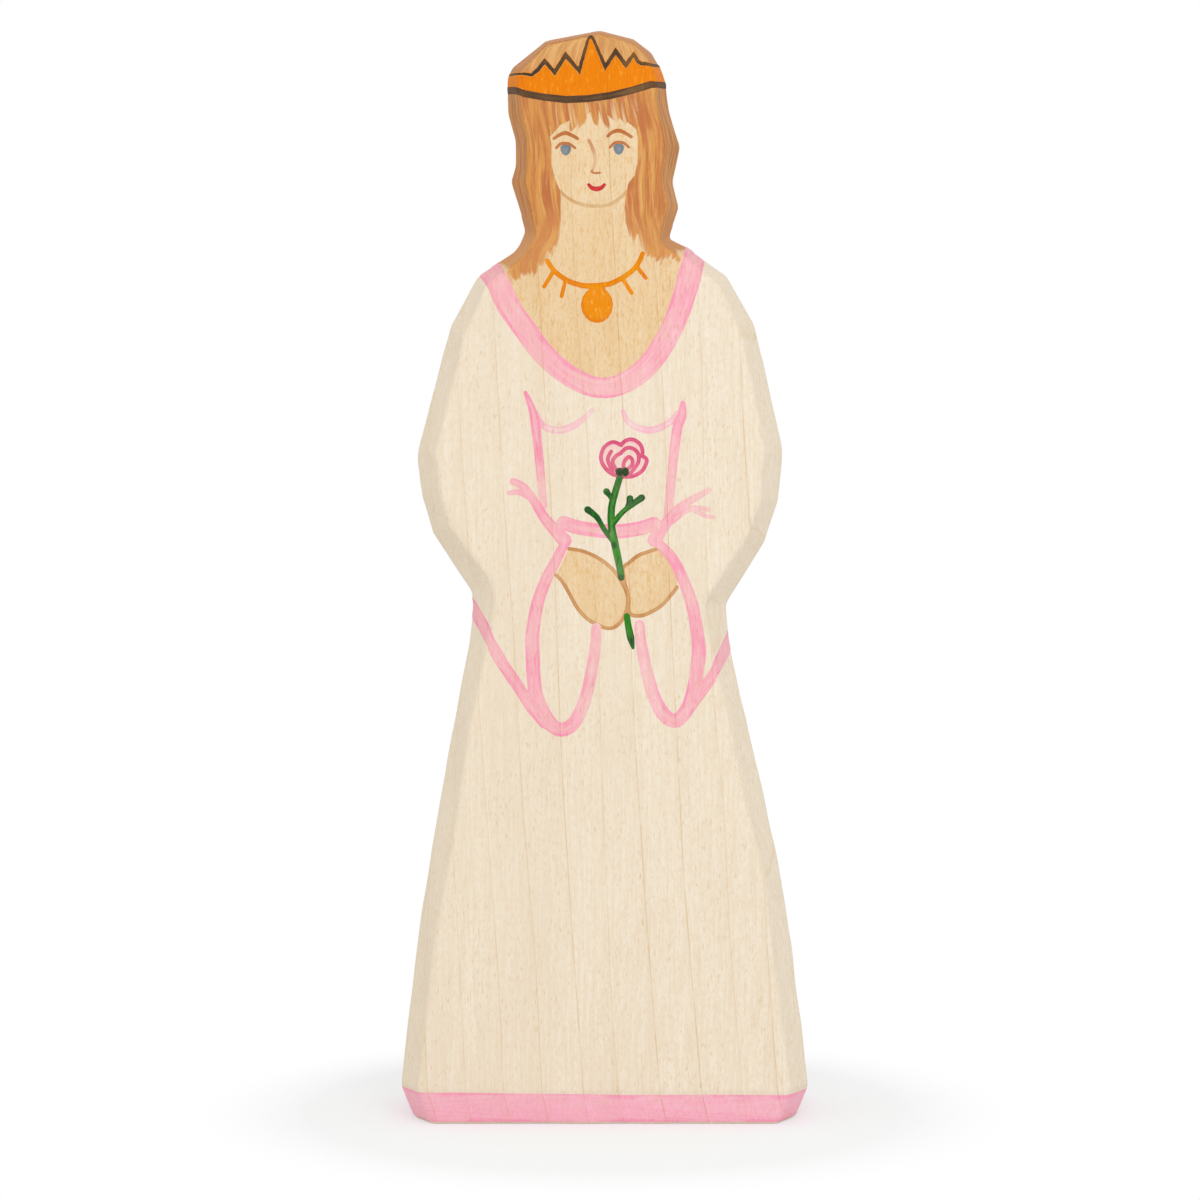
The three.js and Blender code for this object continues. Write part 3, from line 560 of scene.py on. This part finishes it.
def knife_waves(mesh):
    """Small hollows left by the knife on the cut edges; the sawn front and back stay almost flat."""
    normals = [v.normal.copy() for v in mesh.vertices]
    places = []
    for vertex, normal in zip(mesh.vertices, normals):
        flat = abs(normal.y) ** 4
        depth = KNIFE_WAVE * (1 - flat) + BOARD_WAVE * flat
        resting = normal.z < FOOT_FACING
        wave = 0 if resting else noise.noise(vertex.co / KNIFE_WAVE_LENGTH) * depth
        places.extend(vertex.co + normal * wave)
    mesh.vertices.foreach_set("co", places)
    mesh.update()


def finish_piece(piece, material, slot, *nodes):
    piece.data.materials.clear()
    piece.data.materials.append(material)
    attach(piece, "root")
    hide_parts(*nodes)


def carve_body():
    mesh = sanded_mesh(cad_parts["wooden_figure"])
    knife_waves(mesh)
    mesh.shade_smooth()
    body = link("carved_body", mesh)
    finish_piece(body, wood_material(), "wood", "wooden_figure")
    return body


class Body:
    """The carved body and the coats laid on it so far."""

    def __init__(self, piece):
        self.mesh = piece.data
        self.tree = BVHTree.FromObject(piece, bpy.context.evaluated_depsgraph_get())
        self.coats = []

    def nearest(self, place):
        """The point of the wood that is nearest to the place, and the smooth direction out of it."""
        point, _, index, _ = self.tree.find_nearest(place)
        smooth = Vector()
        for corner in self.mesh.polygons[index].vertices:
            vertex = self.mesh.vertices[corner]
            smooth += vertex.normal / ((vertex.co - point).length + 0.1 * VOXEL)
        return point, smooth.normalized()

    def painted_height(self, point, normal):
        """How high the coats laid so far stand over this point of the wood."""
        top = 0
        start = point + normal * PROBE
        for low, high, tree in self.coats:
            if all(a <= p <= b for a, p, b in zip(low, point, high)):
                distance = tree.ray_cast(start, -normal, PROBE)[3]
                if distance is not None:
                    top = max(top, PROBE - distance)
        return top

    def add_coat(self, shape):
        places = np.array([v.co for v in shape.verts])
        self.coats.append((places.min(0) - PROBE, places.max(0) + PROBE, BVHTree.FromBMesh(shape)))


# The coats of paint


CAD_BODY = BVHTree.FromObject(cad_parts["wooden_figure"], bpy.context.evaluated_depsgraph_get())


def mark_outer(shape):
    """Marks the faces of a CAD coat that lie along the wood, facing out, with material 1."""
    for face in shape.faces:
        around = CAD_BODY.find_nearest_range(face.calc_center_median(), FACET_RANGE)
        face.material_index = any(face.normal.dot(facet[1]) > PARALLEL for facet in around)


def is_outer(part):
    return any(face.material_index for face in part.link_faces)


def split_long_edges(shape, pitch):
    """Splits edges down to the pitch, coarser on the hidden side, and turns flat ones to avoid slivers."""
    for turn in range(SPLIT_ROUNDS):
        long_edges = []
        for edge in shape.edges:
            if edge.calc_length() > pitch * (1 if is_outer(edge) else ROOT_PITCH):
                long_edges.append(edge)
        bmesh.ops.subdivide_edges(shape, edges=long_edges, cuts=1)
        bmesh.ops.triangulate(shape, faces=shape.faces)
        if turn < TURN_ROUNDS:
            flat = [e for e in shape.edges if e.is_manifold and e.calc_face_angle() < FLAT]
            bmesh.ops.beautify_fill(shape, faces=shape.faces, edges=flat)


def close_coat(node, pitch):
    """The CAD coat as a close mesh with its outer faces marked."""
    shape = welded(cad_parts[node].data)
    shape.normal_update()
    mark_outer(shape)
    split_long_edges(shape, pitch)
    return shape


class Rim:
    """Short segments along the rim of a coat, and the distance of any place from them."""

    def __init__(self, segments):
        self.segments = segments
        ends = np.array(segments).reshape(-1, 3)
        self.low = ends.min(0) - JOIN
        self.high = ends.max(0) + JOIN
        self.finder = KDTree(len(segments))
        for i, (start, end) in enumerate(segments):
            self.finder.insert((start + end) / 2, i)
        self.finder.balance()

    def distance(self, place):
        found = []
        for _, index, _ in self.finder.find_n(place, NEAR_SEGMENTS):
            start, end = self.segments[index]
            _, share = intersect_point_line(place, start, end)
            found.append((start.lerp(end, min(max(share, 0), 1)) - place).length)
        return min(found)

    def touches(self, place):
        inside = all(a <= p <= b for a, p, b in zip(self.low, place, self.high))
        return inside and self.distance(place) < JOIN


def rim_segments(shape):
    segments = []
    for edge in shape.edges:
        if sum(face.material_index for face in edge.link_faces) == 1:
            segments.append([v.co.copy() for v in edge.verts])
    return segments


def open_rims(shapes):
    """The rim of each coat, without the stretches where it runs into another coat of the same paint."""
    rims = [Rim(rim_segments(shape)) for shape in shapes]
    result = []
    for rim in rims:
        others = [other for other in rims if other is not rim]
        free = [s for s in rim.segments if not any(o.touches((s[0] + s[1]) / 2) for o in others)]
        result.append(Rim(free))
    return result


def lay_coat(shape, rim, body):
    """Moves a coat on to the body, thin at its rim. Gives each point's rim distance and direction out."""
    distances, normals = [], []
    for vertex in shape.verts:
        point, normal = body.nearest(vertex.co)
        distance, height = 0, -COAT_ROOT
        if is_outer(vertex):
            distance = rim.distance(vertex.co)
            share = min(distance / FEATHER, 1)
            swell = COAT_THICKNESS * share * share * (3 - 2 * share)
            height = body.painted_height(point, normal) + COAT_GAP + swell
        vertex.co = point + normal * height
        distances.append(distance / MM)
        normals.append(normal)
    for face in shape.faces:
        face.material_index = 0
    return distances, normals


def add_attribute(mesh, name, values):
    layer = mesh.attributes.new(name, "FLOAT", "POINT")
    layer.data.foreach_set("value", np.asarray(values, np.float32))


def places_of(mesh):
    """The places of a mesh's points in millimetres."""
    return np.array([v.co for v in mesh.vertices]) / MM


def middle_of(node):
    """The middle of a node's box in millimetres."""
    return sum(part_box(node), Vector()) / 2 / MM


def paint_left(node, places):
    """The share of paint at each place of a coat."""
    if node not in THINNING:
        return np.ones(len(places))
    about, axis, distances, shares = THINNING[node]
    return np.interp(abs(places[:, axis] - middle_of(about)[axis]), distances, shares)


def knots_of(places):
    """The share of darker paint at each place of the stem, round the spots where the brush was set down."""
    middle = middle_of("rose_stem")
    gaps = [np.hypot(places[:, 0] - middle.x - x, places[:, 2] - middle.z - z) for x, z in KNOTS]
    return np.interp(np.min(gaps, axis=0), [KNOT_CORE, KNOT_REACH], [KNOT_SHARE, 0])


def coat_piece(node, shape, distances, normals):
    mesh = bpy.data.meshes.new(node + "_paint")
    shape.to_mesh(mesh)
    mesh.shade_smooth()
    mesh.normals_split_custom_set_from_vertices(normals)
    add_attribute(mesh, "rim", distances)
    add_attribute(mesh, "fade", paint_left(node, places_of(mesh)))
    return link(node + "_paint", mesh)


def paint(body, nodes, pitch, material, slot):
    """Lays coats of one paint side by side. They run into each other without a rim between them."""
    shapes = [close_coat(node, pitch) for node in nodes]
    pieces = []
    for node, shape, rim in zip(nodes, shapes, open_rims(shapes)):
        pieces.append(coat_piece(node, shape, *lay_coat(shape, rim, body)))
        finish_piece(pieces[-1], material, slot, node)
    for shape in shapes:
        body.add_coat(shape)
        shape.free()
    return pieces


# The hair


def slice_edge(places, height, pick):
    near = places[abs(places[:, 2] - height) < SLICE_HALF, 0]
    return pick(near) if len(near) else 0.0


def softened(values):
    """A running mean that keeps the ends."""
    padded = np.pad(values, FLOW_SPAN // 2, mode="edge")
    return np.convolve(padded, np.ones(FLOW_SPAN) / FLOW_SPAN, mode="valid")


def add_flow(mesh):
    """Marks where the hair's streaks run: from the top of the head down along its outline."""
    places = places_of(mesh)
    heights = np.arange(places[:, 2].min() - SLICE_STEP, places[:, 2].max() + SLICE_STEP, SLICE_STEP)
    left = softened([slice_edge(places, z, np.min) for z in heights])
    right = softened([slice_edge(places, z, np.max) for z in heights])
    middle = np.interp(places[:, 2], heights, (left + right) / 2)
    half = np.interp(places[:, 2], heights, (right - left) / 2)
    lengths = np.cumsum(np.hypot(SLICE_STEP, np.gradient((right - left) / 2)))
    across = (places[:, 0] - middle) / half
    front = np.interp([abs(v.normal.y) for v in mesh.vertices], FRONT_FACING, [0, 1])
    flow = places.copy()
    flow[:, 0] = HEAD_HALF_WIDTH * (across * front + np.sign(across) * (1 - front))
    flow[:, 2] = np.interp(places[:, 2], heights, lengths)
    layer = mesh.attributes.new("flow", "FLOAT_VECTOR", "POINT")
    layer.data.foreach_set("vector", flow.astype(np.float32).ravel())


def add_ends(mesh):
    """Marks where the hair ends in loose brush tips: fully at the locks, less in the fringe."""
    face = middle_of("nose_line")
    places = places_of(mesh)
    height = places[:, 2] - face.z
    locks = np.interp(height, LOCK_HEIGHTS, [1, 0])
    in_front = (places[:, 1] < 0) * (abs(places[:, 0] - face.x) < FRINGE_HALF_WIDTH)
    fringe = np.interp(height, FRINGE_HEIGHTS, [0, 1, 1, 0]) * in_front
    ends = np.maximum(LOCK_ENDS * locks, FRINGE_ENDS * fringe)
    add_attribute(mesh, "fringe", fringe)
    add_attribute(mesh, "ends", np.maximum(ends, LEAST_ENDS))


def paint_hair(body):
    for piece in paint(body, ["hair"], BROAD, hair_material(), "hair_paint"):
        add_flow(piece.data)
        add_ends(piece.data)


# The painting, coat after coat


def both(*names):
    return [side + "_" + name for name in names for side in ("left", "right")]


def paint_dress_below(body, pink):
    pale = brush_material("pale_pink", PALE_PINK, 0.62, streaky=0.4)
    hem = brush_material("hem_pink", HEM_PINK, 0.95, streaky=0.3, sway=HEM_SWAY)
    wash = brush_material("rose_wash", ROSE_WASH, 0.42, streaky=0.4)
    paint(body, ["hem_band"], BROAD, hem, "pink_paint")
    paint(body, ["rose_wash"], LINE, wash, "pink_paint")
    paint(body, both("bodice_seam"), STROKE, pink, "pink_paint")
    paint(body, both("bust_line"), STROKE, pale, "pink_paint")


def paint_face_and_hands(body):
    brown = brush_material("brown_line", BROWN, 0.85, 0.04, below=SKIN_TINT)
    faint = brush_material("faint_line", FAINT_BROWN, 0.55, 0.05, 0.4, SKIN_TINT)
    edge = brush_material("hand_line", HAND_BROWN, 0.85, 0.05, 0.3, SKIN_TINT)
    red = brush_material("lip_red", RED, 0.95, 0.03, below=SKIN_TINT)
    blue = brush_material("iris_blue", BLUE, 0.92, 0.05, below=SKIN_TINT)
    paint(body, both("eyebrow") + ["nose_line"], FINE, brown, "brown_paint")
    paint(body, ["chin_line"], FINE, faint, "brown_paint")
    paint(body, both("hand_outline"), FINE, edge, "brown_paint")
    paint(body, both("iris"), FINE, blue, "blue_paint")
    paint(body, ["lips"], FINE, red, "red_paint")
    paint(body, both("eyelid"), FINE, brown, "brown_paint")


def paint_gold(body):
    orange = brush_material("crown_orange", ORANGE, 1.0, 0.04, 0.06, HAIR_TINT, GOLD_FLECK)
    gold = brush_material("gold_line", GOLD, 1.0, 0.05, 0.08, SKIN_TINT, GOLD_FLECK)
    # The pendant's paint is strewn with pale flecks, which are painted glints
    glinting_gold = brush_material("gold_drop", PENDANT_GOLD, 1.0, 0.05, 0.1, SKIN_TINT, PENDANT_GLINT)
    paint(body, ["crown_band"], STROKE, orange, "crown_paint")
    _, pendant = paint(body, ["necklace_chain", "pendant"], FINE, gold, "gold_paint")
    pendant.data.materials[0] = glinting_gold


def mark_knots(pieces):
    for piece in pieces:
        add_attribute(piece.data, "knot", knots_of(places_of(piece.data)))


def paint_rose(body):
    rose = brush_material("rose_line", ROSE, 0.9, 0.05)
    leaf = brush_material("calyx_green", DARK_GREEN, 1.0, 0.06)
    green = brush_material("green_line", GREEN, 0.95, 0.05, spots=GREEN_FLECK)
    paint(body, ["rose_petals"], FINE, rose, "rose_paint")
    paint(body, ["rose_calyx"], FINE, leaf, "dark_green_paint")
    mark_knots(paint(body, ["rose_stem", "rose_stem_end"], FINE, green, "green_paint"))


def sink_on_top(piece, body):
    """Hides the sliver of the crown's line that runs over the top of the head, under the hair."""
    for vertex in piece.data.vertices:
        _, normal = body.nearest(vertex.co)
        vertex.co -= normal * SLIVER_DEPTH * np.interp(normal.z, TOP_FACING, [0, 1])


def paint_crown_lines(body):
    brush = {"cover": 0.92, "ragged": 0.08, "spots": DARK_FLECK}
    lower = brush_material("dark_line", DARK_BROWN, below=HAIR_TINT, **brush)
    upper = brush_material("dark_zigzag", DARK_BROWN, below=CROWN_TINT, sway=ZIGZAG_SWAY, **brush)
    paint(body, ["crown_bottom_line"], LINE, lower, "dark_paint")
    for piece in paint(body, ["crown_top_line"], LINE, upper, "dark_paint"):
        sink_on_top(piece, body)


def paint_all(body):
    skin = glaze_material("skin_glaze", SKIN_TINT)
    pink = brush_material("pink_glaze", PINK, 0.88, 0.14, 0.42)
    paint(body, ["skin_glaze"], BROAD, skin, "skin_glaze")
    paint(body, both("hand"), STROKE, skin, "skin_glaze")
    paint_hair(body)
    paint_dress_below(body, pink)
    paint_face_and_hands(body)
    paint_gold(body)
    trims = ["neckline_trim", "waist_sash"] + both("bow", "sleeve_opening", "cuff_edge")
    paint(body, trims, STROKE, pink, "pink_paint")
    paint_rose(body)
    paint_crown_lines(body)


# The studio


def table_material():
    """White that keeps the figure's shadow near it and runs out into plain white further off."""
    material, tree = new_material("white_table")
    place = add(tree, "ShaderNodeTexCoord").outputs["Object"]
    reach = add(tree, "ShaderNodeVectorMath", {0: place}, operation="LENGTH").outputs["Value"]
    away = rise(tree, reach, TABLE_NEAR, TABLE_FAR)
    seen = plain_rays(tree)
    tone = blend(tree, seen, TABLE_BOUNCE, TABLE_WHITE)
    lit = add(tree, "ShaderNodeBsdfDiffuse", {"Color": tone}).outputs[0]
    white = add(tree, "ShaderNodeEmission", {"Strength": 1.0}).outputs[0]
    plain = times(tree, seen, sums(tree, "MAXIMUM", away, 1 - TABLE_SHADE))
    top = add(tree, "ShaderNodeMixShader", {0: plain, 1: lit, 2: white}).outputs[0]
    out = add(tree, "ShaderNodeOutputMaterial")
    tree.links.new(top, out.inputs["Surface"])
    return material


def lay_floor():
    mesh = bpy.data.meshes.new("floor")
    far = TABLE_REACH
    corners = [(-far, -far, 0), (far, -far, 0), (far, far, 0), (-far, far, 0)]
    mesh.from_pydata(corners, [], [(0, 1, 2, 3)])
    mesh.materials.append(table_material())
    floor = link("floor", mesh)
    floor.location.z = -TABLE_DROP


def light_world():
    """Light from all round, and plain white where the camera or a reflection sees the surroundings."""
    world = bpy.data.worlds.new("studio")
    bpy.context.scene.world = world
    world.use_nodes = True
    tree = world.node_tree
    tree.nodes.clear()
    strength = add(tree, "ShaderNodeMix", {0: plain_rays(tree), 2: SKY, 3: 1.0}, data_type="FLOAT").outputs[0]
    sky = add(tree, "ShaderNodeBackground", {"Color": (1, 1, 1, 1), "Strength": strength}).outputs[0]
    out = add(tree, "ShaderNodeOutputWorld")
    tree.links.new(sky, out.inputs["Surface"])


def turn_towards(holder, target):
    holder.rotation_euler = (target - holder.location).to_track_quat("-Z", "Y").to_euler()


def add_lamp(name, place, size, power):
    lamp = bpy.data.lights.new(name, "AREA")
    lamp.shape = "DISK"
    lamp.size = size
    lamp.energy = power
    holder = link(name, lamp)
    holder.location = place
    turn_towards(holder, LAMPS_AIM)


def set_camera():
    camera = link("camera", bpy.data.cameras.new("camera"))
    camera.data.lens = LENS
    camera.data.sensor_width = SENSOR
    camera.data.clip_start = CLIP_START
    camera.location = EYE
    turn_towards(camera, AIM)
    bpy.context.scene.camera = camera


bpy.context.scene.view_settings.view_transform = "Standard"
paint_all(Body(carve_body()))
lay_floor()
light_world()
add_lamp("key", **KEY_LAMP)
add_lamp("fill", **FILL_LAMP)
set_camera()
